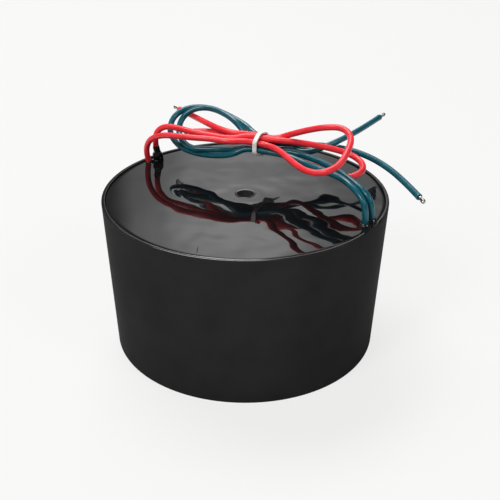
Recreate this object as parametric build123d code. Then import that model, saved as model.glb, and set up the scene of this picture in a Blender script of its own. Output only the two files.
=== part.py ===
# A toroidal mains transformer, potted in a round black plastic cup.
# Two red and two green leads come up out of the potting resin, are folded
# into a loose bundle above it and are held there by one white cable tie.
# The origin is the centre of the cup's underside, with +Z up. Seen from -Y,
# the red leads come out at the back left and the green leads at the front right.

from build123d import *
import math
import os

# Cup, with its wall drafted so that it draws off the mould

cup_top_diameter = 110.0
cup_foot_diameter = 104.0
cup_height = 61.0
cup_wall = 1.8
cup_floor = 2.0
cup_foot_round = 0.6
cup_rim_round = 0.6
cup_floor_round = 1.5

# Bolt hole straight through the cup's floor and the resin, a clearance hole for an M6 bolt

bolt_hole_diameter = 6.6
bolt_hole_lip_width = 1.0
bolt_hole_lip_height = 0.4

# Potting resin: how far it stays below the rim, how it climbs the wall and the leads

resin_below_rim = 1.0
meniscus_width = 1.6
meniscus_height = 0.55
collar_foot_radius = 2.1
collar_top_radius = 1.45
collar_heights = {
    "red_lead_1": 0.9,
    "red_lead_2": 6.0,
    "green_lead_1": 1.0,
    "green_lead_2": 1.4,
}
collar_to_cup_wall = 0.05

# Room that the resin leaves round the wound core

winding_to_cup_wall = 4.9
winding_to_bolt_hole = 6.5
winding_to_cup_floor = 2.5
winding_to_resin_surface = 9.7

# Layers over the tape-wound steel ring, each with its thickness on the outside,
# in the bore, where the turns crowd, and on the two flat sides

core_corner_round = 0.6
layer_thickness = {
    "core_insulation": (0.6, 0.6, 0.6),
    "primary_winding": (3.0, 5.0, 3.6),
    "interwinding_insulation": (0.5, 0.5, 0.5),
    "secondary_winding": (2.8, 4.6, 3.2),
    "outer_wrap": (0.5, 0.5, 0.5),
}

# Leads, with their stripped and tinned ends

lead_diameter = 2.4
lead_clearance = 0.04
strand_diameter = 0.52
strand_count_in_ring = 6
strand_overlap = 0.06
stripped_length = 4.2
arc_share_of_run = 0.45

# Splices between the windings and the leads, in shrink sleeves beside the wound core

sleeve_wall = 0.7
sleeve_length = 12.0
sleeve_to_cup_wall = 0.65
lead_start_depth = 8.0
sleeve_end_round = 0.5
sleeve_to_lead_gap = 0.4
winding_wire_diameter = 0.9
winding_wire_bend_radius = 1.6
winding_wire_below_sleeve = 5.0
winding_wire_clearance = 0.03

# Cable tie round the eight strands of the bundle

tie_across = 5.5
tie_back = 13.5
tie_over_resin = 16.0
tie_axis = Vector(0.916, -0.394, -0.081)
tie_head_side = Vector(0.302, 0.800, -0.519)
tie_width = 1.9
tie_thickness = 0.7
tie_clearance = 0.12
tie_head_across = 4.0
tie_head_height = 3.0
tie_head_width = 3.6
tie_head_round = 0.5
tie_tail_length = 7.0
tie_tail_lean = 38.0

# Where each lead starts, over its sleeve, and where it leaves the resin: two
# directions from the centre, counted from +X, and its axis's distance from the cup's wall

exit_point_depth = 1.0
lead_exits = {
    "red_lead_1": (141.6, 140.8, 1.55),
    "red_lead_2": (136.5, 136.8, 2.7),
    "green_lead_1": (-32.6, -31.6, 2.4),
    "green_lead_2": (-26.5, -27.0, 1.65),
}

# Each lead's route from there, through the tie, round its loop, back through the
# tie and out to its free end. The points are chosen by hand from the way the leads
# lie, and their heights are counted from the resin's surface.

lead_routes = {
    "red_lead_1": [
        (-41.1, 30.3, 6.4), (-39.2, 27.6, 12.0), (-34.3, 23.9, 15.4), (-27.5, 19.4, 16.8),
        (-20.6, 16.3, 17.2), (-13.5, 14.5, 17.5), (-6.4, 11.0, 17.5), (0.2, 12.0, 17.7),
        (9.9, 9.7, 16.5), (14.1, -0.8, 17.6), (17.7, -11.1, 17.8), (21.6, -19.3, 18.2),
        (26.6, -23.4, 19.0), (32.6, -22.9, 21.3), (36.4, -17.0, 24.4), (38.9, -8.0, 27.0),
        (36.0, -1.2, 28.2), (29.5, 1.6, 27.2), (23.3, 5.9, 24.4), (16.9, 13.1, 19.8),
        (11.6, 14.3, 17.5), (1.9, 16.6, 18.7), (-4.9, 16.8, 19.0), (-11.4, 22.6, 18.9),
        (-19.6, 35.6, 18.3), (-28.0, 47.8, 18.0),
    ],
    "red_lead_2": [
        (-36.9, 33.0, 5.0), (-37.2, 32.0, 10.0), (-36.4, 31.4, 14.2), (-32.7, 30.0, 17.0),
        (-27.5, 26.6, 17.5), (-21.6, 22.2, 17.5), (-14.9, 19.1, 17.4), (-5.7, 13.8, 17.7),
        (0.9, 14.0, 19.2), (10.1, 11.9, 18.1), (17.9, 10.1, 18.2), (25.7, 9.6, 17.2),
        (33.7, 8.2, 16.0), (39.8, 6.9, 14.6), (43.8, 3.0, 13.4), (44.6, -2.0, 12.8),
        (43.4, -6.4, 12.4), (40.2, -8.6, 11.8), (36.0, -8.3, 10.8), (31.2, -1.8, 10.5),
        (26.2, 5.6, 10.6), (20.4, 12.6, 11.1), (12.8, 13.6, 14.4), (1.1, 14.4, 16.3),
        (-3.2, 20.6, 16.0), (-9.5, 24.9, 15.9), (-15.6, 29.0, 15.4), (-21.2, 30.4, 14.5),
    ],
    "green_lead_1": [
        (42.9, -27.0, 5.4), (42.1, -25.9, 9.4), (39.7, -22.6, 12.1), (36.4, -16.9, 13.4),
        (32.9, -11.5, 13.5), (27.5, -5.6, 13.3), (21.9, 1.6, 13.0), (16.0, 7.2, 13.5),
        (10.0, 9.3, 13.9), (0.4, 11.9, 14.9), (-5.3, 11.5, 12.0), (-12.5, 16.6, 9.5),
        (-19.9, 22.3, 8.2), (-26.7, 26.8, 9.0), (-31.5, 32.7, 12.8), (-30.3, 38.7, 17.8),
        (-24.6, 41.4, 20.8), (-17.3, 41.3, 21.4), (-10.5, 36.3, 21.2), (-4.6, 30.4, 20.2),
        (0.4, 25.6, 18.9), (3.3, 19.4, 17.8), (10.7, 16.0, 15.1), (18.3, 16.5, 15.0),
        (26.0, 19.0, 13.4), (34.7, 21.9, 11.7), (42.8, 15.2, 12.4), (50.2, 5.0, 12.8),
        (57.2, -9.8, 12.2), (61.8, -25.4, 11.0),
    ],
    "green_lead_2": [
        (45.7, -23.9, 5.2), (44.6, -23.2, 9.3), (41.7, -20.0, 11.8), (37.5, -12.3, 13.0),
        (33.1, -5.1, 13.4), (27.7, 2.5, 13.4), (21.5, 8.3, 13.4), (16.3, 10.3, 13.8),
        (9.9, 11.6, 12.7), (0.8, 14.2, 13.9), (-4.0, 14.9, 12.9), (-10.5, 17.7, 11.9),
        (-16.4, 19.3, 11.3), (-21.6, 20.6, 11.0), (-25.9, 26.2, 12.0), (-27.6, 32.4, 14.4),
        (-26.2, 36.6, 18.4), (-21.4, 37.6, 21.9), (-14.4, 35.7, 23.0), (-8.2, 29.4, 22.5),
        (-4.2, 24.4, 21.2), (-1.2, 21.0, 18.9), (1.9, 18.0, 15.5), (10.2, 15.2, 12.7),
        (17.8, 16.7, 12.3), (24.6, 14.2, 11.8), (31.4, 16.1, 13.8), (38.7, 19.8, 15.6),
        (47.4, 28.5, 16.9), (55.7, 39.9, 17.6),
    ],
}
winding_of_lead = {
    "red_lead_1": "primary_winding",
    "red_lead_2": "primary_winding",
    "green_lead_1": "secondary_winding",
    "green_lead_2": "secondary_winding",
}
layers_over_primary = ("interwinding_insulation", "secondary_winding", "outer_wrap")
buried_point_count = 4

# Sizes worked out from the ones above

bolt_hole_radius = bolt_hole_diameter / 2
resin_height = cup_height - resin_below_rim
lead_radius = lead_diameter / 2
sleeve_radius = lead_radius + sleeve_wall
tie_centre = Vector(tie_across, tie_back, resin_height + tie_over_resin)


def cup_outer_radius(height):
    """The drafted wall's outside radius at a height above the foot."""
    draft = (cup_top_diameter - cup_foot_diameter) / 2
    return cup_foot_diameter / 2 + draft * height / cup_height


def cup_inner_radius(height):
    return cup_outer_radius(height) - cup_wall


def narrowest_inside(bottom, top):
    """The cup's least inside radius over a span of heights, whichever way it drafts."""
    return min(cup_inner_radius(bottom), cup_inner_radius(top))


def turned(outline, roundings):
    """Turn a closed outline, drawn in radius and height, about the Z axis.

    Each rounding is an outline point and the radius that its corner gets.
    """
    face = make_face(Plane.XZ * outline)
    for (radius, height), round_radius in roundings:
        corner = face.vertices().sort_by_distance((radius, 0, height))[0]
        face = fillet(corner, round_radius)
    return revolve(face, Axis.Z)


def make_cup():
    foot = (cup_outer_radius(0), 0)
    rim_outside = (cup_outer_radius(cup_height), cup_height)
    rim_inside = (cup_inner_radius(cup_height), cup_height)
    floor_corner = (cup_inner_radius(cup_floor), cup_floor)
    outline = Polyline(
        (bolt_hole_radius, 0),
        foot,
        rim_outside,
        rim_inside,
        floor_corner,
        (bolt_hole_radius, cup_floor),
        close=True,
    )
    roundings = [
        (foot, cup_foot_round),
        (rim_outside, cup_rim_round),
        (rim_inside, cup_rim_round),
        (floor_corner, cup_floor_round),
    ]
    return turned(outline, roundings)


def make_resin_fill():
    """The resin before anything is taken out of it, turned from one outline.

    It is level, but it has crept up the cup's wall in a hollow curve and it stands
    in a low rolled lip round the mouth of the bolt hole.
    """
    meniscus_top = resin_height + meniscus_height
    wall_side = cup_inner_radius(meniscus_top)
    level_edge = (wall_side - meniscus_width, resin_height)
    floor_corner = (cup_inner_radius(cup_floor), cup_floor)
    lip_inside = (bolt_hole_radius, resin_height)
    lip_crown = (bolt_hole_radius + bolt_hole_lip_width / 2, resin_height + bolt_hole_lip_height)
    lip_outside = (bolt_hole_radius + bolt_hole_lip_width, resin_height)
    outline = TangentArc(level_edge, (wall_side, meniscus_top), tangent=(1, 0))
    outline = outline + Polyline(
        (wall_side, meniscus_top),
        floor_corner,
        (bolt_hole_radius, cup_floor),
        lip_inside,
    )
    outline = outline + ThreePointArc(lip_inside, lip_crown, lip_outside)
    outline = outline + Line(lip_outside, level_edge)
    return turned(outline, [(floor_corner, cup_floor_round)])


def make_ring(outer_radius, inner_radius, bottom, top, corner_radius):
    """A ring of rounded rectangular section about the Z axis."""
    section = RectangleRounded(outer_radius - inner_radius, top - bottom, corner_radius)
    middle = Pos((outer_radius + inner_radius) / 2, (top + bottom) / 2)
    return revolve(Plane.XZ * middle * section, Axis.Z)


def make_wound_core():
    """The steel ring and the layers over it, each hollowed by the one under it.

    The outside of the last layer is set by the room left for the resin, and the
    steel ring fills what the layers leave.
    """
    outside_total, bore_total, side_total = map(sum, zip(*layer_thickness.values()))
    bottom = cup_floor + winding_to_cup_floor + side_total
    top = resin_height - winding_to_resin_surface - side_total
    outer = narrowest_inside(cup_floor, top + side_total) - winding_to_cup_wall - outside_total
    inner = bolt_hole_radius + winding_to_bolt_hole + bore_total
    corner = core_corner_round
    ring = make_ring(outer, inner, bottom, top, corner)
    solids = {"core": ring}
    reach = {"core": outer}
    for name, (outside, bore, side) in layer_thickness.items():
        outer = outer + outside
        inner = inner - bore
        bottom = bottom - side
        top = top + side
        corner = corner + outside
        wider_ring = make_ring(outer, inner, bottom, top, corner)
        solids[name] = wider_ring - ring
        reach[name] = outer
        ring = wider_ring
    return solids, reach, ring


def on_circle(radius, direction, height):
    angle = math.radians(direction)
    return (radius * math.cos(angle), radius * math.sin(angle), height)


def lead_points(name):
    """A lead's whole route: its start over the sleeve, its exit, and the points above."""
    start_direction, exit_direction, exit_to_wall = lead_exits[name]
    start_height = resin_height - lead_start_depth
    sleeve_bottom = start_height - sleeve_to_lead_gap - sleeve_length
    room_for_sleeve = narrowest_inside(sleeve_bottom, start_height)
    start_radius = room_for_sleeve - sleeve_radius - sleeve_to_cup_wall
    exit_height = resin_height - exit_point_depth
    exit_radius = cup_inner_radius(exit_height) - exit_to_wall
    start = on_circle(start_radius, start_direction, start_height)
    exit_point = on_circle(exit_radius, exit_direction, exit_height)
    return [start, exit_point] + [(x, y, resin_height + up) for x, y, up in lead_routes[name]]


def bend_radius(before, corner, after):
    """The radius of the arc that takes up its share of the shorter run at a corner."""
    run_in = Vector(corner) - Vector(before)
    run_out = Vector(after) - Vector(corner)
    half_turn = math.radians(run_in.get_angle(run_out)) / 2
    return arc_share_of_run * min(run_in.length, run_out.length) / math.tan(half_turn)


def lead_path(points):
    corners = zip(points, points[1:], points[2:])
    return FilletPolyline(*points, radius=[bend_radius(*corner) for corner in corners])


def tube(path, radius):
    start = Plane(origin=path @ 0, z_dir=path % 0)
    return sweep(start * Circle(radius), path=path)


def make_tinned_tip(path):
    """A short rope of tinned strands: one in the middle and a ring of six."""
    end = Plane(origin=path @ 1, z_dir=path % 1)
    strand = extrude(Circle(strand_diameter / 2), stripped_length)
    ring_radius = strand_diameter - strand_overlap
    rope = strand
    for place in PolarLocations(ring_radius, strand_count_in_ring):
        rope = rope + place * strand
    return end * rope


def make_splice(lead_start, winding_surface_radius):
    """A shrink sleeve under the lead's start, and the winding wire that runs into it."""
    top = lead_start.Z - sleeve_to_lead_gap
    sleeve = Pos(lead_start.X, lead_start.Y, top - sleeve_length / 2)
    sleeve = sleeve * Cylinder(sleeve_radius, sleeve_length)
    sleeve = fillet(sleeve.edges().filter_by(GeomType.CIRCLE), sleeve_end_round)
    outward = Vector(lead_start.X, lead_start.Y, 0).normalized()
    bottom = top - sleeve_length
    wire_height = bottom - winding_wire_below_sleeve
    wire_path = FilletPolyline(
        outward * winding_surface_radius + Vector(0, 0, wire_height),
        Vector(lead_start.X, lead_start.Y, wire_height),
        Vector(lead_start.X, lead_start.Y, bottom),
        radius=winding_wire_bend_radius,
    )
    wire = tube(wire_path, winding_wire_diameter / 2)
    wire_channel = tube(wire_path, winding_wire_diameter / 2 + winding_wire_clearance)
    return sleeve, wire, wire_channel


def make_collar(name, points):
    """The cone of resin that has crept up a lead where it comes out, leaning as it does."""
    foot = Vector(points[1])
    along_lead = Vector(points[2]) - foot
    length = exit_point_depth + collar_heights[name]
    standing = (Align.CENTER, Align.CENTER, Align.MIN)
    cone = Cone(collar_foot_radius, collar_top_radius, length, align=standing)
    cone = Plane(origin=foot, z_dir=along_lead) * cone
    mouth_radius = cup_inner_radius(resin_height) - collar_to_cup_wall
    mouth = Pos(0, 0, resin_height) * Cylinder(mouth_radius, 2 * length)
    return cone & mouth


def strands_at_tie(points):
    """Where a lead's straight runs cross the two edges of the tie's band."""
    frame = tie_plane()
    crossings = []
    local = [frame.to_local_coords(Vector(point)) for point in points]
    for start, end in zip(local, local[1:]):
        if start.Z * end.Z < 0:
            for edge in (-tie_width / 2, tie_width / 2):
                share = (edge - start.Z) / (end.Z - start.Z)
                crossings.append(start + (end - start) * share)
    return crossings


def tie_plane():
    """The tie's own frame: its axis along the bundle, its head out along +X."""
    return Plane(origin=tie_centre, x_dir=tie_head_side, z_dir=tie_axis)


def make_cable_tie():
    """A band drawn tight round the strands, with its locking head and cut tail."""
    wrap_radius = lead_radius + tie_clearance
    circles = []
    for name in lead_routes:
        for crossing in strands_at_tie(lead_points(name)):
            circles.append(Pos(crossing.X, crossing.Y) * Circle(wrap_radius))
    bundle = make_hull([edge for circle in circles for edge in circle.edges()])
    strap = offset(bundle, tie_thickness) - bundle
    band = Pos(0, 0, -tie_width / 2) * extrude(strap, tie_width)
    reach = bundle.bounding_box().max.X
    head_middle = reach + tie_head_height / 2
    head = Pos(head_middle, 0, 0) * Box(tie_head_height, tie_head_across, tie_head_width)
    head = fillet(head.edges(), tie_head_round)
    tail = Pos(tie_tail_length / 2, 0, 0) * Box(tie_tail_length, tie_thickness, tie_width)
    tail = Pos(head_middle, 0, 0) * Rotation(0, 0, tie_tail_lean) * tail
    bundle_room = Pos(0, 0, -tie_head_width) * extrude(bundle, 2 * tie_head_width)
    return tie_plane() * (band + (head + tail - bundle_room))


def report_lead(name, points, path, lead):
    """Print a lead's length and bends, and its volume against section times length."""
    radii = [round(bend_radius(*corner), 1) for corner in zip(points, points[1:], points[2:])]
    print(name, "length", round(path.length, 1), "bend radii", radii)
    plain_volume = math.pi * lead_radius ** 2 * path.length
    print(name, "volume over section times length", round(lead.volume / plain_volume, 4))


def build():
    solids, winding_reach, wound_core = make_wound_core()
    solids["case"] = make_cup()
    resin = make_resin_fill()
    hollows = [wound_core]
    for name in lead_routes:
        points = lead_points(name)
        path = lead_path(points)
        lead = tube(path, lead_radius)
        report_lead(name, points, path, lead)
        winding_surface = winding_reach[winding_of_lead[name]]
        sleeve, wire, wire_channel = make_splice(Vector(points[0]), winding_surface)
        lead_channel = tube(lead_path(points[:buried_point_count]), lead_radius + lead_clearance)
        resin = resin + make_collar(name, points)
        hollows = hollows + [lead_channel, sleeve, wire_channel]
        for layer in layers_over_primary:
            solids[layer] = solids[layer] - wire_channel
        solids[name] = lead
        solids[name.replace("lead", "tip")] = make_tinned_tip(path)
        solids[name.replace("lead", "splice_sleeve")] = sleeve
        solids[name.replace("lead", "winding_end")] = wire
    solids["potting_compound"] = resin - hollows
    solids["cable_tie"] = make_cable_tie()
    return solids


os.makedirs("parts", exist_ok=True)
for node, solid in build().items():
    export_step(solid, f"parts/{node}.step")
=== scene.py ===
import math

import bmesh
import bpy
from mathutils import Matrix, Vector, geometry, noise


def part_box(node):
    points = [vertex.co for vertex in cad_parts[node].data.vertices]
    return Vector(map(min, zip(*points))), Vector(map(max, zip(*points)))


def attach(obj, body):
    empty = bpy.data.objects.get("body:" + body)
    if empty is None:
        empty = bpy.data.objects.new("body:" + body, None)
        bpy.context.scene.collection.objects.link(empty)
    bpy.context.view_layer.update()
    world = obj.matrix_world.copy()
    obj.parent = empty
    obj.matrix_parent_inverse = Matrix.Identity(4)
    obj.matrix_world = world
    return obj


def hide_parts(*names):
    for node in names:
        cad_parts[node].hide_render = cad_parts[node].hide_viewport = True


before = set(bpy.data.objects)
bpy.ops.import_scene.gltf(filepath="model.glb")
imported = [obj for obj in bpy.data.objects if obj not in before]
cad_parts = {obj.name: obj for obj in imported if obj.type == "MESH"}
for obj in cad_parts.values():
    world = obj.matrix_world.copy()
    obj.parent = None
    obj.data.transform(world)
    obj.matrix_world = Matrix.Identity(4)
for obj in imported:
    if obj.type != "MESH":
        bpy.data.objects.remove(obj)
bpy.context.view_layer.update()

MM = 0.001

# Sizes that the frame gives

CASE_LOW, CASE_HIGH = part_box("case")
RIM_HEIGHT = CASE_HIGH[2]
RIM_RADIUS = (CASE_HIGH[0] - CASE_LOW[0]) / 2

# Sizes repeated from the part's source

RESIN_HEIGHT = RIM_HEIGHT - 1.0 * MM
FOOT_RADIUS = 52.0 * MM
CASE_WALL = 1.8 * MM
CASE_FLOOR = 2.0 * MM
FLOOR_ROUND = 1.5 * MM
BOLT_HOLE_RADIUS = 3.3 * MM
LEAD_DIAMETER = 2.4 * MM
STRIPPED_LENGTH = 4.2 * MM
STRANDS_RADIUS = 0.68 * MM

# The case's visible edges: the wall thins towards the rim. The rim's crown shows only at the
# front and the right: CROWN_LEAN turns it to the right, and it grows from nothing at CROWN_START
# to its full height over CROWN_RANGE, both as shares of the rim's radius.

FOOT_ROUND = 0.6 * MM
RIM_WALL = 1.3 * MM
OUTER_ROUND = 0.3 * MM
INNER_ROUND = 0.15 * MM
CROWN = 0.09 * MM
CROWN_LEAN = 0.35
CROWN_START = 0.35
CROWN_RANGE = 0.35
CASE_TURNS = 288

# The resin's visible surface, nearly flush with the rim

SURFACE = RIM_HEIGHT - 0.45 * MM
WALL_GAP = 0.06 * MM
EDGE_WIDTH = 1.8 * MM
EDGE_FALL = 0.35 * MM
EDGE_CURVE = 2.5
LIP_WIDTH = 0.5 * MM
LIP_HEIGHT = 0.06 * MM
CALM_WIDTH = 4.0 * MM
RESIN_TURNS = 300
TOP_RINGS = 80

# The surface's swell: the lengths of its waves and where it grows lively, seen from the left

WIDE_WAVE = 31.0 * MM
MIDDLE_WAVE = 14.0 * MM
FINE_WAVE = 6.5 * MM
LIVELY_FROM = -34.0 * MM
LIVELY_RANGE = 22.0 * MM
RIGHT_RANGE = 20.0 * MM

# Resin that crept up the leads, its heights counted from the source's resin, then the set
# drops (place, radius, height) and one fine thread (points in millimetres)

COLLAR_HEIGHTS = {
    "red_lead_1": 1.3 * MM,
    "red_lead_2": 7.8 * MM,
    "green_lead_1": 1.4 * MM,
    "green_lead_2": 1.7 * MM,
}
COLLAR_DEPTH = 0.6 * MM
COLLAR_FOOT_RADIUS = 2.1 * MM
COLLAR_TOP_RADIUS = 1.4 * MM
COLLAR_LEAN = 0.3 * MM
COLLAR_WALL_GAP = 0.3 * MM
TALL_COLLAR = 4.0 * MM
DROPS = {
    "resin_drop_1": ((-38.4 * MM, 33.4 * MM), 1.25 * MM, 0.85 * MM),
    "resin_drop_2": ((-39.9 * MM, 30.4 * MM), 0.5 * MM, 0.3 * MM),
    "resin_drop_3": ((44.2 * MM, -25.6 * MM), 0.8 * MM, 0.4 * MM),
}
THREAD = [(-16.3, -43.4), (-16.1, -44.6), (-16.4, -45.9), (-16.2, -47.2), (-16.6, -48.6)]

# The cable tie

TIE_CENTRE = (6.0 * MM, 13.5 * MM, RESIN_HEIGHT + 16.0 * MM)
TIE_AXIS = (0.859, -0.507, 0.004)
TIE_HEAD_SIDE = (0.439, 0.732, -0.522)
TIE_WIDTH = 1.8 * MM
TIE_THICKNESS = 0.7 * MM
TIE_CLEARANCE = 0.18 * MM
TIE_CORNER = 0.22 * MM
TIE_HEAD = (3.0 * MM, 4.0 * MM, 3.6 * MM)
TIE_HEAD_CORNER = 0.5 * MM
TIE_HEAD_SINK = 0.15 * MM
TIE_SLOT_MARGIN = 0.45 * MM
TIE_SLOT_DEPTH = 0.7 * MM
TIE_TAIL_LENGTH = 7.0 * MM
TIE_TAIL_LEAN = 38.0
TIE_RIB = 0.12 * MM

# Camera, matched to the photograph

CAMERA_PLACE = (0.0, -315.8 * MM, 204.0 * MM)
CAMERA_YAW = -0.347
CAMERA_TILT = 61.991
CAMERA_ROLL = 0.344
CAMERA_LENS = 64.65

# The world's soft light is a strip: stops of (direction component, level) for each axis

WORLD_LEVEL = 0.13
SOFT_LIGHT_LEVEL = 2.2
SOFT_LIGHT_ACROSS = [
    (-0.4, 0.0), (-0.15, 0.02), (-0.117, 0.42), (-0.1, 0.5), (-0.05, 0.95), (0.0, 1.0),
    (0.06, 0.76), (0.105, 0.5), (0.16, 0.42), (0.34, 0.0),
]
SOFT_LIGHT_BEHIND = [(0.0, 0.0), (0.6, 1.0)]
SOFT_LIGHT_UP = [
    (0.0, 0.9), (0.24, 0.9), (0.33, 0.46), (0.37, 0.48), (0.41, 0.64), (0.455, 1.0),
    (0.6, 0.7), (0.75, 0.0),
]

# Each lamp's place, size and power

LAMP_TARGET = (0, 0, 0.05)
LAMPS = {
    "high_back_softbox": ((-0.35, 0.7, 1.5), (1.1, 0.6), 25),
    "left_softbox": ((-0.9, -1.2, 1.3), (0.9, 0.9), 5),
    "right_softbox": ((1.0, -1.1, 1.2), (0.9, 0.9), 2),
    "left_lamp": ((-0.8, -0.9, 1.1), (0.4, 0.4), 9),
    "right_lamp": ((0.9, -0.8, 1.0), (0.4, 0.4), 4),
}

# The floor and the pale tone that the camera sees on it

FLOOR_REACH = 4.0
FLOOR_COLOUR = (0.76, 0.76, 0.756, 1.0)
BACKGROUND_COLOUR = (0.93, 0.93, 0.925, 1.0)
BACKGROUND_SHARE = 0.82

# Each lead's points in millimetres, as in the part's source but for a few near the tie that
# follow the photograph. The first is its start over its splice sleeve and the second its exit
# from the resin, and heights count from the source's resin.

LEADS = {
    "red_lead_1": [
        (-38.9, 30.8, -8.0), (-40.0, 32.6, -1.0), (-41.1, 30.3, 6.4), (-39.2, 27.6, 12.0),
        (-34.3, 23.9, 15.4), (-27.5, 19.4, 16.8), (-20.6, 16.3, 17.2), (-13.5, 14.5, 17.5),
        (-6.4, 11.0, 17.5), (0.2, 12.0, 17.7), (9.9, 9.7, 16.5), (14.1, -0.8, 17.6),
        (17.7, -11.1, 17.8), (21.6, -19.3, 18.2), (26.6, -23.4, 19.0), (32.6, -22.9, 21.3),
        (36.4, -17.0, 24.4), (38.9, -8.0, 27.0), (36.0, -1.2, 28.2), (29.5, 1.6, 27.2),
        (23.3, 5.9, 24.4), (16.9, 13.1, 19.8), (11.6, 14.3, 17.5), (1.9, 16.6, 18.7),
        (-4.9, 16.8, 19.0), (-11.4, 22.6, 18.9), (-19.6, 35.6, 18.3), (-28.0, 47.8, 18.0),
    ],
    "red_lead_2": [
        (-36.0, 34.1, -8.0), (-36.7, 34.5, -1.0), (-36.9, 33.0, 5.0), (-37.2, 32.0, 10.0),
        (-36.4, 31.4, 14.2), (-32.7, 30.0, 17.0), (-27.5, 26.6, 17.5), (-21.6, 22.2, 17.5),
        (-14.9, 19.1, 17.4), (-5.7, 13.8, 17.7), (0.9, 14.0, 19.2), (10.1, 11.9, 18.1),
        (17.9, 10.1, 18.2), (25.7, 9.6, 17.2), (33.7, 8.2, 16.0), (39.8, 6.9, 14.6),
        (43.8, 3.0, 13.4), (44.6, -2.0, 12.8), (43.4, -6.4, 12.4), (40.2, -8.6, 11.8),
        (36.0, -8.3, 10.8), (31.2, -1.8, 10.5), (26.2, 5.6, 10.2), (19.6, 13.3, 9.0),
        (11.2, 13.8, 14.2), (1.1, 14.4, 16.3), (-3.2, 20.6, 16.0), (-9.5, 24.9, 15.9),
        (-15.6, 29.0, 15.4), (-21.2, 30.4, 14.5),
    ],
    "green_lead_1": [
        (41.8, -26.7, -8.0), (43.2, -26.6, -1.0), (42.9, -27.0, 5.4), (42.1, -25.9, 9.4),
        (39.7, -22.6, 12.1), (36.4, -16.9, 13.4), (32.9, -11.5, 13.5), (27.5, -5.6, 13.3),
        (21.9, 1.6, 13.0), (16.0, 7.2, 13.5), (10.0, 9.3, 13.9), (0.4, 11.9, 14.9),
        (-5.3, 11.5, 12.0), (-12.5, 16.6, 9.5), (-19.9, 22.3, 8.2), (-26.7, 26.8, 9.0),
        (-31.5, 32.7, 12.8), (-30.3, 38.7, 17.8), (-24.6, 41.4, 20.8), (-17.3, 41.3, 21.4),
        (-10.5, 36.3, 21.2), (-4.6, 30.4, 20.2), (0.4, 25.6, 18.9), (3.3, 19.4, 17.8),
        (10.7, 16.0, 15.1), (18.3, 16.5, 15.0), (26.0, 19.0, 13.4), (34.7, 21.9, 11.7),
        (42.8, 15.2, 12.4), (50.2, 5.0, 12.8), (57.2, -9.8, 12.2), (61.8, -25.4, 11.0),
    ],
    "green_lead_2": [
        (44.4, -22.1, -8.0), (45.8, -23.4, -1.0), (45.7, -23.9, 5.2), (44.6, -23.2, 9.3),
        (41.7, -20.0, 11.8), (37.5, -12.3, 13.0), (33.1, -5.1, 13.4), (27.7, 2.5, 13.4),
        (21.5, 8.3, 13.4), (16.3, 10.3, 14.1), (9.9, 11.6, 12.7), (0.8, 14.2, 13.9),
        (-4.0, 14.9, 12.9), (-10.5, 17.7, 11.9), (-16.4, 19.3, 11.3), (-21.6, 20.6, 11.0),
        (-25.9, 26.2, 12.0), (-27.6, 32.4, 14.4), (-26.2, 36.6, 18.4), (-21.4, 37.6, 21.9),
        (-14.4, 35.7, 23.0), (-8.2, 29.4, 22.5), (-4.2, 24.4, 21.2), (-1.2, 21.0, 18.9),
        (1.9, 18.0, 15.5), (10.2, 15.7, 12.4), (17.8, 16.7, 12.3), (24.6, 14.2, 11.8),
        (31.4, 16.1, 13.8), (38.7, 19.8, 15.6), (47.4, 28.5, 16.9), (55.7, 39.9, 17.6),
    ],
}


# Materials

def new_material(name, colour, roughness, specular=0.5, coat=0.0, metallic=0.0):
    """A Principled material, with its node tree and its shader node."""
    material = bpy.data.materials.new(name)
    material.use_nodes = True
    tree = material.node_tree
    shader = tree.nodes["Principled BSDF"]
    shader.inputs["Base Color"].default_value = (*colour, 1.0)
    shader.inputs["Roughness"].default_value = roughness
    shader.inputs["Specular IOR Level"].default_value = specular
    shader.inputs["Coat Weight"].default_value = coat
    shader.inputs["Metallic"].default_value = metallic
    return material, tree, shader


def object_noise(tree, scale, detail=4.0, roughness=0.55):
    """A noise texture in the object's own coordinates."""
    place = tree.nodes.new("ShaderNodeTexCoord")
    texture = tree.nodes.new("ShaderNodeTexNoise")
    texture.inputs["Scale"].default_value = scale
    texture.inputs["Detail"].default_value = detail
    texture.inputs["Roughness"].default_value = roughness
    tree.links.new(place.outputs["Object"], texture.inputs["Vector"])
    return texture


def mixed_colour(tree, shader, texture, dark, light, low=0.35, high=0.65):
    """The shader's colour varies between two tones as the texture does."""
    ramp = tree.nodes.new("ShaderNodeValToRGB")
    ramp.color_ramp.elements[0].position = low
    ramp.color_ramp.elements[0].color = (*dark, 1.0)
    ramp.color_ramp.elements[1].position = high
    ramp.color_ramp.elements[1].color = (*light, 1.0)
    tree.links.new(texture.outputs["Fac"], ramp.inputs["Fac"])
    tree.links.new(ramp.outputs["Color"], shader.inputs["Base Color"])


def varied_roughness(tree, shader, texture, low, high):
    spread = tree.nodes.new("ShaderNodeMapRange")
    spread.inputs["To Min"].default_value = low
    spread.inputs["To Max"].default_value = high
    tree.links.new(texture.outputs["Fac"], spread.inputs["Value"])
    tree.links.new(spread.outputs["Result"], shader.inputs["Roughness"])


def bumped(tree, shader, texture, height, strength=1.0):
    bump = tree.nodes.new("ShaderNodeBump")
    bump.inputs["Distance"].default_value = height
    bump.inputs["Strength"].default_value = strength
    tree.links.new(texture.outputs["Fac"], bump.inputs["Height"])
    tree.links.new(bump.outputs["Normal"], shader.inputs["Normal"])


def case_plastic():
    """Satin moulded plastic with a fine grain."""
    material, tree, shader = new_material("case_plastic", (0.022, 0.022, 0.022), 0.55, 0.009)
    mottle = object_noise(tree, 60.0)
    mixed_colour(tree, shader, mottle, (0.02, 0.02, 0.0202), (0.0245, 0.0245, 0.0245))
    varied_roughness(tree, shader, mottle, 0.5, 0.6)
    grain = object_noise(tree, 2600.0, 2.0)
    bumped(tree, shader, grain, 0.006 * MM, 0.6)
    return material


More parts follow.
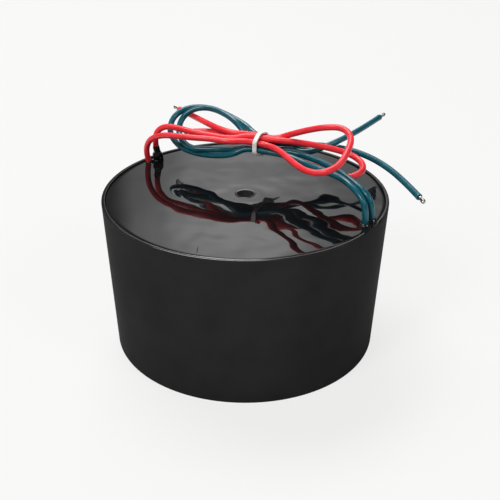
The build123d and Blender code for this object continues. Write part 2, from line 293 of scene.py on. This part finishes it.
def rim_plastic():
    """The same plastic, darker and glossy along the rim."""
    material, tree, shader = new_material("rim_plastic", (0.006, 0.006, 0.006), 0.07, 0.3)
    rub = object_noise(tree, 180.0)
    mixed_colour(tree, shader, rub, (0.005, 0.005, 0.0051), (0.008, 0.008, 0.008))
    varied_roughness(tree, shader, rub, 0.05, 0.11)
    return material


def cast_resin(name, specular):
    """Black cast resin, glossy with a slight haze."""
    material, tree, shader = new_material(name, (0.004, 0.004, 0.0045), 0.03, specular)
    haze = object_noise(tree, 45.0)
    mixed_colour(tree, shader, haze, (0.0035, 0.0035, 0.004), (0.006, 0.006, 0.0065))
    varied_roughness(tree, shader, haze, 0.015, 0.05)
    return material


def lead_insulation(name, dark, light, roughness):
    """Soft drawn plastic that lets a little light in."""
    material, tree, shader = new_material(name, light, roughness, 0.4)
    mottle = object_noise(tree, 140.0)
    mixed_colour(tree, shader, mottle, dark, light)
    varied_roughness(tree, shader, mottle, roughness - 0.05, roughness + 0.06)
    drawn = object_noise(tree, 900.0, 2.0)
    bumped(tree, shader, drawn, 0.012 * MM, 0.5)
    shader.inputs["Subsurface Weight"].default_value = 0.08
    shader.inputs["Subsurface Radius"].default_value = (0.0012, 0.0006, 0.0005)
    return material


def tinned_copper():
    material, tree, shader = new_material("tinned_copper", (0.62, 0.62, 0.60), 0.28, 0.5, 0.0, 1.0)
    stain = object_noise(tree, 900.0)
    mixed_colour(tree, shader, stain, (0.2, 0.19, 0.17), (0.72, 0.72, 0.71), 0.42, 0.6)
    varied_roughness(tree, shader, stain, 0.2, 0.42)
    return material


def tie_nylon():
    material, tree, shader = new_material("tie_nylon", (0.82, 0.81, 0.78), 0.34, 0.45)
    mottle = object_noise(tree, 300.0)
    mixed_colour(tree, shader, mottle, (0.74, 0.73, 0.70), (0.86, 0.855, 0.83))
    varied_roughness(tree, shader, mottle, 0.28, 0.4)
    shader.inputs["Subsurface Weight"].default_value = 0.2
    shader.inputs["Subsurface Radius"].default_value = (0.001, 0.001, 0.0009)
    return material


def enamelled_copper():
    material, tree, shader = new_material("enamelled_copper", (0.55, 0.2, 0.08), 0.3, 0.5, 0.4, 1.0)
    turns = object_noise(tree, 400.0)
    mixed_colour(tree, shader, turns, (0.42, 0.13, 0.05), (0.62, 0.25, 0.1))
    return material


def insulating_film():
    material, tree, shader = new_material("insulating_film", (0.75, 0.6, 0.2), 0.25, 0.5)
    laps = object_noise(tree, 120.0)
    mixed_colour(tree, shader, laps, (0.66, 0.5, 0.16), (0.8, 0.66, 0.26))
    return material


def core_steel():
    material, tree, shader = new_material("core_steel", (0.35, 0.35, 0.37), 0.35, 0.5, 0.0, 1.0)
    tape = object_noise(tree, 700.0)
    mixed_colour(tree, shader, tape, (0.28, 0.28, 0.3), (0.42, 0.42, 0.44))
    return material


def shrink_sleeve():
    material, tree, shader = new_material("shrink_sleeve", (0.02, 0.02, 0.02), 0.5, 0.4)
    mottle = object_noise(tree, 500.0)
    mixed_colour(tree, shader, mottle, (0.015, 0.015, 0.015), (0.03, 0.03, 0.03))
    return material


# Meshes

def share_of(value):
    """A value held between 0 and 1."""
    return min(1.0, max(0.0, value))


def outward_faces(mesh):
    """Turns every face of a mesh outward."""
    build = bmesh.new()
    build.from_mesh(mesh)
    bmesh.ops.recalc_face_normals(build, faces=build.faces)
    build.to_mesh(mesh)
    build.free()


def new_piece(name, mesh, material, smooth=True):
    """A mesh object that belongs to the part and rides on its one body."""
    piece = bpy.data.objects.new(name, mesh)
    bpy.context.scene.collection.objects.link(piece)
    outward_faces(mesh)
    mesh.materials.append(material)
    if smooth:
        mesh.shade_smooth()
    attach(piece, "root")
    return piece


def ring_mesh(name, rings, closed):
    """A mesh through rings of points, joined end to end, or with a cap at each end."""
    count = len(rings[0])
    last = len(rings) - 1
    faces = []
    for step in range(len(rings) if closed else last):
        here = step * count
        there = (step + 1) % len(rings) * count
        for i in range(count):
            j = (i + 1) % count
            faces.append((here + i, there + i, there + j, here + j))
    if not closed:
        faces.append(tuple(range(count)))
        faces.append(tuple(range(last * count, last * count + count)))
    mesh = bpy.data.meshes.new(name)
    mesh.from_pydata([point for ring in rings for point in ring], [], faces)
    mesh.update()
    return mesh


def turned_mesh(name, outline, turns):
    """A closed mesh from a closed outline of (radius, height) points, turned about Z."""
    rings = []
    for step in range(turns):
        angle = 2 * math.pi * step / turns
        across, along = math.cos(angle), math.sin(angle)
        rings.append([(radius * across, radius * along, height) for radius, height in outline])
    return ring_mesh(name, rings, closed=True)


def arc(centre, radius, start, end, steps):
    """Points along an arc in the (radius, height) plane, angles in degrees."""
    points = []
    for step in range(steps + 1):
        angle = math.radians(start + (end - start) * step / steps)
        points.append((centre[0] + radius * math.cos(angle), centre[1] + radius * math.sin(angle)))
    return points


def crowned_rim(foot_slope):
    """The rim's outline: its outer edge, the soft crown and its inner edge."""
    shoulder = RIM_HEIGHT - CROWN
    outer_centre = (RIM_RADIUS - OUTER_ROUND, shoulder - OUTER_ROUND)
    inner_centre = (RIM_RADIUS - RIM_WALL + INNER_ROUND, shoulder - INNER_ROUND)
    outer_edge = arc(outer_centre, OUTER_ROUND, -foot_slope, 75, 6)
    inner_edge = arc(inner_centre, INNER_ROUND, 105, 180 - foot_slope, 5)
    start, end = outer_edge[-1][0], inner_edge[0][0]
    crown = []
    for step in range(1, 10):
        share = step / 10
        crown.append((start + (end - start) * share, RIM_HEIGHT - CROWN * (2 * share - 1) ** 2))
    return outer_edge + crown + inner_edge


def make_case():
    """The moulded cup. Its rim is glossy inside and crowned only at the front and the right."""
    foot_slope = math.degrees(math.atan2(RIM_RADIUS - FOOT_RADIUS, RIM_HEIGHT))
    inner_foot = FOOT_RADIUS + (RIM_RADIUS - FOOT_RADIUS) * CASE_FLOOR / RIM_HEIGHT - CASE_WALL
    floor_centre = (inner_foot - FLOOR_ROUND, CASE_FLOOR + FLOOR_ROUND)
    outline = [(BOLT_HOLE_RADIUS, 0)]
    outline += [(FOOT_RADIUS * share, 0) for share in (0.3, 0.6, 0.9)]
    outline += arc((FOOT_RADIUS - FOOT_ROUND, FOOT_ROUND), FOOT_ROUND, -90, -foot_slope, 6)
    outline += crowned_rim(foot_slope)
    outline += arc(floor_centre, FLOOR_ROUND, -foot_slope, -90, 5)
    outline += [(BOLT_HOLE_RADIUS, CASE_FLOOR)]
    mesh = turned_mesh("case_shell", outline, CASE_TURNS)
    for vertex in mesh.vertices:
        x, y, z = vertex.co
        if z > RIM_HEIGHT - CROWN * 0.99:
            front = share_of(((CROWN_LEAN * x - y) / RIM_RADIUS - CROWN_START) / CROWN_RANGE)
            vertex.co.z = RIM_HEIGHT - CROWN + (z - RIM_HEIGHT + CROWN) * front
    case = new_piece("case_shell", mesh, MATERIALS["case"])
    mesh.materials.append(MATERIALS["rim"])
    for face in mesh.polygons:
        inside_edge = math.hypot(face.center.x, face.center.y) < RIM_RADIUS - OUTER_ROUND * 0.8
        if inside_edge and face.center.z > RIM_HEIGHT - OUTER_ROUND - CROWN:
            face.material_index = 1
    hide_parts("case")


def swell(x, y):
    """How far the cast surface stands above or below level, at most 0.3 mm."""
    place = Vector((x, y, 0))
    wide = noise.noise(place / WIDE_WAVE + Vector((3.1, 7.4, 0.0)))
    middle = noise.noise(place / MIDDLE_WAVE + Vector((9.2, 1.3, 4.0)))
    fine = noise.noise(place / FINE_WAVE + Vector((5.5, 2.6, 8.0)))
    lively = share_of((x - LIVELY_FROM) / LIVELY_RANGE)
    right = share_of(x / RIGHT_RANGE)
    middle_height = 0.02 + 0.13 * lively + 0.05 * right
    fine_height = 0.004 + 0.045 * lively
    return (0.05 * wide + middle_height * middle + fine_height * fine) * MM


def make_resin():
    """The cast resin: a rippled top that sinks a little at the wall and lifts at the bolt hole."""
    wall = RIM_RADIUS - RIM_WALL - WALL_GAP
    foot = FOOT_RADIUS - CASE_WALL
    lip_end = BOLT_HOLE_RADIUS + LIP_WIDTH
    top_end = wall - EDGE_WIDTH
    outline = [(BOLT_HOLE_RADIUS, CASE_FLOOR)]
    for step in range(9):
        share = step / 8
        lift = LIP_HEIGHT * math.sin(math.pi * share)
        outline.append((BOLT_HOLE_RADIUS + LIP_WIDTH * share, SURFACE + lift))
    for step in range(1, TOP_RINGS):
        outline.append((lip_end + (top_end - lip_end) * step / TOP_RINGS, SURFACE))
    for step in range(11):
        share = step / 10
        outline.append((top_end + EDGE_WIDTH * share, SURFACE - EDGE_FALL * share ** EDGE_CURVE))
    outline += [(foot + 0.2 * MM, CASE_FLOOR + FLOOR_ROUND), (foot - FLOOR_ROUND, CASE_FLOOR)]
    mesh = turned_mesh("cast_resin", outline, RESIN_TURNS)
    for vertex in mesh.vertices:
        x, y, z = vertex.co
        if z > SURFACE - 0.5 * MM:
            calm = share_of((math.hypot(x, y) - BOLT_HOLE_RADIUS) / CALM_WIDTH)
            vertex.co.z += calm * swell(x, y)
    mesh.update()
    resin = new_piece("cast_resin", mesh, MATERIALS["resin"])
    mesh.materials.append(MATERIALS["case"])
    for face in mesh.polygons:
        if math.hypot(face.center.x, face.center.y) < BOLT_HOLE_RADIUS + 0.01 * MM:
            face.material_index = 1
    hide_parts("potting_compound")


def tube_mesh(name, line, radius_at, around=32):
    """A capped tube along a line. Its radius follows radius_at(share of length, angle)."""
    rings = []
    total = sum((b - a).length for a, b in zip(line, line[1:]))
    along = 0.0
    side = None
    for i, point in enumerate(line):
        if i:
            along += (point - line[i - 1]).length
        before = line[max(i - 1, 0)]
        after = line[min(i + 1, len(line) - 1)]
        direction = (after - before).normalized()
        if side is None:
            side = direction.orthogonal().normalized()
        side = (side - direction * side.dot(direction)).normalized()
        other = direction.cross(side)
        ring = []
        for step in range(around):
            angle = 2 * math.pi * step / around
            radius = radius_at(along / total, angle)
            ring.append(point + (side * math.cos(angle) + other * math.sin(angle)) * radius)
        rings.append(ring)
    return ring_mesh(name, rings, closed=False)


def point_along(line, height):
    """Where a line first rises through a height."""
    for a, b in zip(line, line[1:]):
        if a.z <= height < b.z:
            return a + (b - a) * ((height - a.z) / (b.z - a.z))
    return line[-1]


def make_collar(name, line):
    """The glossy cone of resin that has crept up a lead, lumpy as it set."""
    height = COLLAR_HEIGHTS[name]
    low = SURFACE - COLLAR_DEPTH
    high = RESIN_HEIGHT + height
    steps = 22
    path = [point_along(line, low + (high - low) * step / steps) for step in range(steps + 1)]
    seed = Vector((len(name) * 1.7, height * 900, 2.0))
    reach = RIM_RADIUS - RIM_WALL - COLLAR_WALL_GAP
    tall = min(1.0, height / TALL_COLLAR)
    lumpiness = (0.2 + 0.35 * tall) * MM
    spread = COLLAR_FOOT_RADIUS - COLLAR_TOP_RADIUS

    # A short collar is a plain cone, a tall one a sleeve with a shoulder

    def radius_at(share, angle):
        shoulder = share_of((0.62 - share) / 0.16)
        shoulder = shoulder * shoulder * (3 - 2 * shoulder)
        flare = (1 - tall) * (1 - share) + tall * (0.95 * shoulder + 0.15 * (1 - share))
        place = seed + Vector((math.cos(angle), math.sin(angle), share * 3))
        end = max(0.0, (share - 0.8) / 0.2)
        body = COLLAR_TOP_RADIUS + spread * flare + noise.noise(place) * lumpiness * (1 - end)
        return max(body - 0.22 * MM * end ** 2, LEAD_DIAMETER / 2 - 0.06 * MM)

    for i, point in enumerate(path):
        point.x += COLLAR_LEAN * tall * (1 - i / steps) ** 0.8
    mesh = tube_mesh(name + "_collar", path, radius_at, 40)
    for vertex in mesh.vertices:
        radius = math.hypot(vertex.co.x, vertex.co.y)
        if radius > reach:
            vertex.co.x *= reach / radius
            vertex.co.y *= reach / radius
    new_piece(name + "_collar", mesh, MATERIALS["drip"])


def make_drop(name, place, radius, height):
    """A small set drop of resin, low and round."""
    mesh = bpy.data.meshes.new(name)
    size = Vector((radius, radius, height))
    build = bmesh.new()
    bmesh.ops.create_icosphere(build, subdivisions=4, radius=1.0)
    for vertex in build.verts:
        lump = 1 + 0.18 * noise.noise(vertex.co * 1.3 + Vector((place[0] * 1000, 0, 0)))
        vertex.co = vertex.co * size * lump + Vector((*place, SURFACE))
    build.to_mesh(mesh)
    build.free()
    new_piece(name, mesh, MATERIALS["drip"])


def make_thread(name, points):
    """A fine raised thread of resin, half sunk in the surface."""
    line = [Vector((x * MM, y * MM, SURFACE + 0.02 * MM)) for x, y in points]

    def radius_at(share, angle):
        return (0.06 + 0.1 * math.sin(math.pi * share)) * MM

    mesh = tube_mesh(name, line, radius_at, 16)
    new_piece(name, mesh, MATERIALS["drip"])


def make_tip(name, line):
    """Twisted strands, dipped in solder and rounded at the end."""
    end = line[-1]
    direction = (line[-1] - line[-3]).normalized()
    steps = 40
    shares = [-0.12] + [step / steps for step in range(1, steps + 1)]
    path = [end + direction * STRIPPED_LENGTH * share for share in shares]
    strands = 7

    def radius_at(share, angle):
        blob = 0.2 * MM * math.sin(math.pi * share_of((share - 0.5) / 0.5))
        lump = 0.05 * MM * noise.noise(Vector((math.cos(angle), math.sin(angle), share * 5)))
        rounding = math.sqrt(max(0.0, 1 - (max(0.0, share - 0.9) / 0.1) ** 2))
        groove = 0.16 * abs(math.sin(strands * (angle + 3.2 * share) / 2)) ** 3
        return max((STRANDS_RADIUS + blob + lump) * rounding, 0.05 * MM) * (1 - groove)

    mesh = tube_mesh(name.replace("lead", "tip"), path, radius_at, 8 * strands)
    tip = new_piece(name.replace("lead", "tinned_end"), mesh, MATERIALS["tinned"])
    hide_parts(name.replace("lead", "tip"))
    return tip


def make_cut_end(name, line):
    """The cut edge of the insulation, slightly flared, with its wall in sight."""
    end = line[-1]
    direction = (line[-1] - line[-3]).normalized()
    outer = LEAD_DIAMETER / 2 / MM
    section = [(-1.4, outer - 0.02), (-0.9, outer + 0.015), (-0.15, outer + 0.05),
               (0.06, outer - 0.03), (0.1, outer - 0.15), (0.08, 0.74), (-0.1, 0.7), (-1.4, 0.7)]
    side = direction.orthogonal().normalized()
    other = direction.cross(side)
    around = 40
    rings = []
    for step in range(around):
        angle = 2 * math.pi * step / around
        out = side * math.cos(angle) + other * math.sin(angle)
        uneven = 0.04 * math.sin(2 * angle + 1)
        ring = []
        for shift, radius in section:
            shift += uneven if shift > -0.2 else 0
            ring.append(end + (direction * shift + out * radius) * MM)
        rings.append(ring)
    mesh = ring_mesh(name + "_cut_end", rings, closed=True)
    return new_piece(name + "_cut_end", mesh, lead_material(name))


def tie_frame():
    """The tie's own frame: X towards its head, Z along the bundle."""
    axis = Vector(TIE_AXIS).normalized()
    across = Vector(TIE_HEAD_SIDE)
    across = (across - axis * across.dot(axis)).normalized()
    up = axis.cross(across)
    turn = Matrix((across, up, axis)).transposed().to_4x4()
    return Matrix.Translation(TIE_CENTRE) @ turn


def tie_loop(lines, to_local):
    """The middle of the band, drawn tight round every strand that crosses the tie's plane."""
    wrap = LEAD_DIAMETER / 2 + TIE_CLEARANCE + TIE_THICKNESS / 2
    around = []
    for line in lines:
        local = [to_local @ point for point in line]
        for a, b in zip(local, local[1:]):
            if a.z * b.z >= 0:
                continue
            for edge in (-TIE_WIDTH / 2, TIE_WIDTH / 2):
                centre = (a + (b - a) * ((edge - a.z) / (b.z - a.z))).to_2d()
                for step in range(72):
                    angle = 2 * math.pi * step / 72
                    around.append(centre + Vector((math.cos(angle), math.sin(angle))) * wrap)
    loop = evenly([around[i] for i in geometry.convex_hull_2d(around)], 150)
    for _ in range(6):
        ahead = loop[1:] + loop[:1]
        loop = [(loop[i - 1] + loop[i] * 2 + ahead[i]) / 4 for i in range(len(loop))]
    return loop


def make_tie(lines):
    """The nylon tie: a rounded band drawn tight, its locking head and its cut tail."""
    frame_of_tie = tie_frame()
    loop = tie_loop(lines, frame_of_tie.inverted())
    section = strap_section(TIE_WIDTH, TIE_THICKNESS)
    rings = []
    for i, here in enumerate(loop):
        ahead = loop[(i + 1) % len(loop)] - loop[i - 1]
        outward = Vector((ahead.y, -ahead.x)).normalized()
        if outward.dot(here) < 0:
            outward = -outward
        ring = [Vector((*(here + outward * out), across)) for across, out in section]
        rings.append([frame_of_tie @ point for point in ring])
    mesh = ring_mesh("tie_band", rings, closed=True)
    band = new_piece("tie_band", mesh, MATERIALS["tie"])
    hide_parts("cable_tie")
    reach = max(point.x for point in loop) + TIE_THICKNESS / 2
    head = make_tie_head(frame_of_tie, reach)
    tail = make_tie_tail(frame_of_tie, reach + TIE_HEAD[0] / 2)
    return [band, head, tail]


def strap_section(width, thickness):
    """A strap's section with rounded edges, as (across, out) points."""
    section = []
    for side_across, side_out, start in ((1, 1, 0), (-1, 1, 90), (-1, -1, 180), (1, -1, 270)):
        centre = (side_across * (width / 2 - TIE_CORNER), side_out * (thickness / 2 - TIE_CORNER))
        section += arc(centre, TIE_CORNER, start, start + 90, 3)
    return section


def evenly(loop, count):
    """Points spaced evenly round a closed loop."""
    closed = loop + [loop[0]]
    lengths = [0.0]
    for a, b in zip(closed, closed[1:]):
        lengths.append(lengths[-1] + (b - a).length)
    spaced = []
    at = 0
    for step in range(count):
        target = lengths[-1] * step / count
        while lengths[at + 1] < target:
            at += 1
        share = (target - lengths[at]) / (lengths[at + 1] - lengths[at])
        spaced.append(closed[at] + (closed[at + 1] - closed[at]) * share)
    return spaced


def make_tie_head(frame_of_tie, reach):
    """The locking head: a rounded box with the strap's slot sunk in its outer face."""
    build = bmesh.new()
    bmesh.ops.create_cube(build, size=1.0)
    bmesh.ops.scale(build, vec=TIE_HEAD, verts=build.verts)
    bmesh.ops.bevel(build, geom=build.edges, offset=TIE_HEAD_CORNER, segments=4, profile=0.5,
                    affect="EDGES")
    outer = [face for face in build.faces if face.normal.x > 0.99]
    outer = max(outer, key=lambda face: face.calc_area())
    bmesh.ops.inset_individual(build, faces=[outer], thickness=TIE_SLOT_MARGIN)
    bmesh.ops.translate(build, verts=outer.verts, vec=(-TIE_SLOT_DEPTH, 0, 0))
    shift = Matrix.Translation((reach + TIE_HEAD[0] / 2 - TIE_HEAD_SINK, 0, 0))
    bmesh.ops.transform(build, matrix=frame_of_tie @ shift, verts=build.verts)
    mesh = bpy.data.meshes.new("tie_head")
    build.to_mesh(mesh)
    build.free()
    return new_piece("tie_head", mesh, MATERIALS["tie"], smooth=False)


def make_tie_tail(frame_of_tie, start):
    """The tail beyond the head, cut square, with the ribs of its inner face."""
    steps = 56
    section = strap_section(TIE_WIDTH, TIE_THICKNESS)
    rings = []
    place = Vector((start, 0.0))
    for step in range(steps + 1):
        lean = math.radians(TIE_TAIL_LEAN * (0.75 + 0.4 * step / steps))
        forward = Vector((math.cos(lean), math.sin(lean)))
        out = Vector((-forward.y, forward.x))
        if step:
            place = place + forward * TIE_TAIL_LENGTH / steps
        rib = TIE_RIB * (step % 4 < 2)
        ring = []
        for across, depth in section:
            if depth < 0 and abs(across) < TIE_WIDTH * 0.3:
                depth += rib
            ring.append(frame_of_tie @ Vector((*(place + out * depth), across)))
        rings.append(ring)
    mesh = ring_mesh("tie_tail", rings, closed=False)
    return new_piece("tie_tail", mesh, MATERIALS["tie"], smooth=False)


# Leads

def lead_material(name):
    return MATERIALS["red" if name.startswith("red") else "green"]


def lead_curve(name):
    """The lead's smooth line: an open spline that its route's points control."""
    points = [Vector((x, y, RESIN_HEIGHT / MM + up)) * MM for x, y, up in LEADS[name]]
    data = bpy.data.curves.new(name, "CURVE")
    data.dimensions = "3D"
    data.resolution_u = 16
    spline = data.splines.new("NURBS")
    spline.points.add(len(points) - 1)
    for control, point in zip(spline.points, points):
        control.co = (*point, 1.0)
    spline.order_u = 3
    spline.use_endpoint_u = True
    curve = bpy.data.objects.new(name + "_line", data)
    bpy.context.scene.collection.objects.link(curve)
    return curve


def curve_points(curve):
    """The points of a curve that has no bevel yet."""
    bpy.context.view_layer.update()
    mesh = bpy.data.meshes.new_from_object(curve)
    points = [vertex.co.copy() for vertex in mesh.vertices]
    bpy.data.meshes.remove(mesh)
    return points


def make_lead(name):
    """One lead, with the points of its line for the pieces that sit on it."""
    curve = lead_curve(name)
    line = curve_points(curve)
    curve.data.bevel_depth = LEAD_DIAMETER / 2
    curve.data.bevel_resolution = 6
    curve.data.use_fill_caps = True
    curve.data.materials.append(lead_material(name))
    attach(curve, "root")
    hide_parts(name)
    return curve, line


# Scene

def make_camera():
    turn = Matrix.Rotation(math.radians(CAMERA_YAW), 4, "Z")
    tilt = Matrix.Rotation(math.radians(CAMERA_TILT), 4, "X")
    roll = Matrix.Rotation(math.radians(CAMERA_ROLL), 4, "Z")
    data = bpy.data.cameras.new("camera")
    data.lens = CAMERA_LENS
    data.sensor_width = 36.0
    data.sensor_fit = "HORIZONTAL"
    camera = bpy.data.objects.new("camera", data)
    camera.matrix_world = Matrix.Translation(CAMERA_PLACE) @ turn @ tilt @ roll
    bpy.context.scene.collection.objects.link(camera)
    bpy.context.scene.camera = camera


def make_floor():
    """A white floor that keeps the object's shadow and stays pale for the camera."""
    mesh = bpy.data.meshes.new("floor")
    corners = [(-FLOOR_REACH, -FLOOR_REACH, 0), (FLOOR_REACH, -FLOOR_REACH, 0),
               (FLOOR_REACH, FLOOR_REACH, 0), (-FLOOR_REACH, FLOOR_REACH, 0)]
    mesh.from_pydata(corners, [], [(0, 1, 2, 3)])
    floor = bpy.data.objects.new("floor", mesh)
    bpy.context.scene.collection.objects.link(floor)
    material = bpy.data.materials.new("floor_white")
    material.use_nodes = True
    tree = material.node_tree
    shader = tree.nodes["Principled BSDF"]
    shader.inputs["Base Color"].default_value = FLOOR_COLOUR
    shader.inputs["Roughness"].default_value = 0.9
    shader.inputs["Specular IOR Level"].default_value = 0.1
    glow = tree.nodes.new("ShaderNodeEmission")
    glow.inputs["Color"].default_value = BACKGROUND_COLOUR
    path = tree.nodes.new("ShaderNodeLightPath")
    share = tree.nodes.new("ShaderNodeMath")
    share.operation = "MULTIPLY"
    share.inputs[1].default_value = BACKGROUND_SHARE
    mix = tree.nodes.new("ShaderNodeMixShader")
    tree.links.new(path.outputs["Is Camera Ray"], share.inputs[0])
    tree.links.new(share.outputs["Value"], mix.inputs["Fac"])
    tree.links.new(shader.outputs["BSDF"], mix.inputs[1])
    tree.links.new(glow.outputs["Emission"], mix.inputs[2])
    tree.links.new(mix.outputs["Shader"], tree.nodes["Material Output"].inputs["Surface"])
    mesh.materials.append(material)


def world_ramp(tree, source, low, high, stops):
    """A smooth strip of grey levels over a range of one direction component."""
    spread = tree.nodes.new("ShaderNodeMapRange")
    spread.inputs["From Min"].default_value = low
    spread.inputs["From Max"].default_value = high
    ramp = tree.nodes.new("ShaderNodeValToRGB")
    ramp.color_ramp.interpolation = "EASE"
    while len(ramp.color_ramp.elements) < len(stops):
        ramp.color_ramp.elements.new(0.5)
    for element, (place, level) in zip(ramp.color_ramp.elements, stops):
        element.position = (place - low) / (high - low)
        element.color = (level, level, level, 1.0)
    tree.links.new(source, spread.inputs["Value"])
    tree.links.new(spread.outputs["Result"], ramp.inputs["Fac"])
    return ramp.outputs["Color"]


def multiplied(tree, first, second):
    product = tree.nodes.new("ShaderNodeMath")
    product.operation = "MULTIPLY"
    tree.links.new(first, product.inputs[0])
    tree.links.new(second, product.inputs[1])
    return product.outputs["Value"]


def make_world():
    """A dim studio with one tall soft light behind the object, which the resin mirrors."""
    world = bpy.data.worlds.new("world")
    bpy.context.scene.world = world
    world.use_nodes = True
    tree = world.node_tree
    place = tree.nodes.new("ShaderNodeTexCoord")
    parts = tree.nodes.new("ShaderNodeSeparateXYZ")
    tree.links.new(place.outputs["Generated"], parts.inputs["Vector"])
    across = world_ramp(tree, parts.outputs["X"], -0.4, 0.4, SOFT_LIGHT_ACROSS)
    behind = world_ramp(tree, parts.outputs["Y"], 0.0, 0.6, SOFT_LIGHT_BEHIND)
    up = world_ramp(tree, parts.outputs["Z"], 0.0, 1.0, SOFT_LIGHT_UP)
    share = multiplied(tree, multiplied(tree, across, behind), up)
    level = tree.nodes.new("ShaderNodeMapRange")
    level.inputs["To Min"].default_value = WORLD_LEVEL
    level.inputs["To Max"].default_value = SOFT_LIGHT_LEVEL
    tree.links.new(share, level.inputs["Value"])
    tree.links.new(level.outputs["Result"], tree.nodes["Background"].inputs["Strength"])
    tree.nodes["Background"].inputs["Color"].default_value = (1.0, 1.0, 1.0, 1.0)


def make_lamp(name, place, size, power):
    """A soft rectangular lamp that faces the object."""
    data = bpy.data.lights.new(name, "AREA")
    data.shape = "RECTANGLE"
    data.size, data.size_y = size
    data.energy = power
    lamp = bpy.data.objects.new(name, data)
    lamp.location = place
    direction = Vector(LAMP_TARGET) - Vector(place)
    lamp.rotation_euler = direction.to_track_quat("-Z", "Y").to_euler()
    bpy.context.scene.collection.objects.link(lamp)


MATERIALS = {
    "case": case_plastic(),
    "rim": rim_plastic(),
    "resin": cast_resin("cast_resin", 0.35),
    "drip": cast_resin("cast_resin_drip", 0.6),
    "red": lead_insulation("red_insulation", (0.76, 0.022, 0.034), (0.84, 0.035, 0.05), 0.33),
    "green": lead_insulation("green_insulation", (0.0015, 0.07, 0.098), (0.003, 0.105, 0.14), 0.25),
    "tinned": tinned_copper(),
    "tie": tie_nylon(),
    "copper": enamelled_copper(),
    "film": insulating_film(),
    "steel": core_steel(),
    "sleeve": shrink_sleeve(),
}

NODE_MATERIALS = {
    "case": "case",
    "potting_compound": "resin",
    "core": "steel",
    "core_insulation": "film",
    "primary_winding": "copper",
    "interwinding_insulation": "film",
    "secondary_winding": "copper",
    "outer_wrap": "film",
    "cable_tie": "tie",
}


def material_of(node):
    if node in NODE_MATERIALS:
        return MATERIALS[NODE_MATERIALS[node]]
    if "sleeve" in node:
        return MATERIALS["sleeve"]
    if "winding_end" in node:
        return MATERIALS["copper"]
    if "tip" in node:
        return MATERIALS["tinned"]
    return lead_material(node)


for node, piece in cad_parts.items():
    for material_slot in piece.material_slots:
        material_slot.material = material_of(node)

make_camera()
make_world()
make_floor()
for lamp_name, lamp_values in LAMPS.items():
    make_lamp(lamp_name, *lamp_values)

made = {lead_name: make_lead(lead_name) for lead_name in LEADS}
tie_pieces = make_tie([line for _, line in made.values()])
for lead_name, (lead, lead_line) in made.items():
    carried = [make_tip(lead_name, lead_line), make_cut_end(lead_name, lead_line)]
    if lead_name == "green_lead_2":
        carried += tie_pieces
    make_collar(lead_name, lead_line)
for drop_name, drop_values in DROPS.items():
    make_drop(drop_name, *drop_values)
make_thread("resin_thread_1", THREAD)
make_case()
make_resin()

bpy.context.scene.view_settings.view_transform = "Standard"
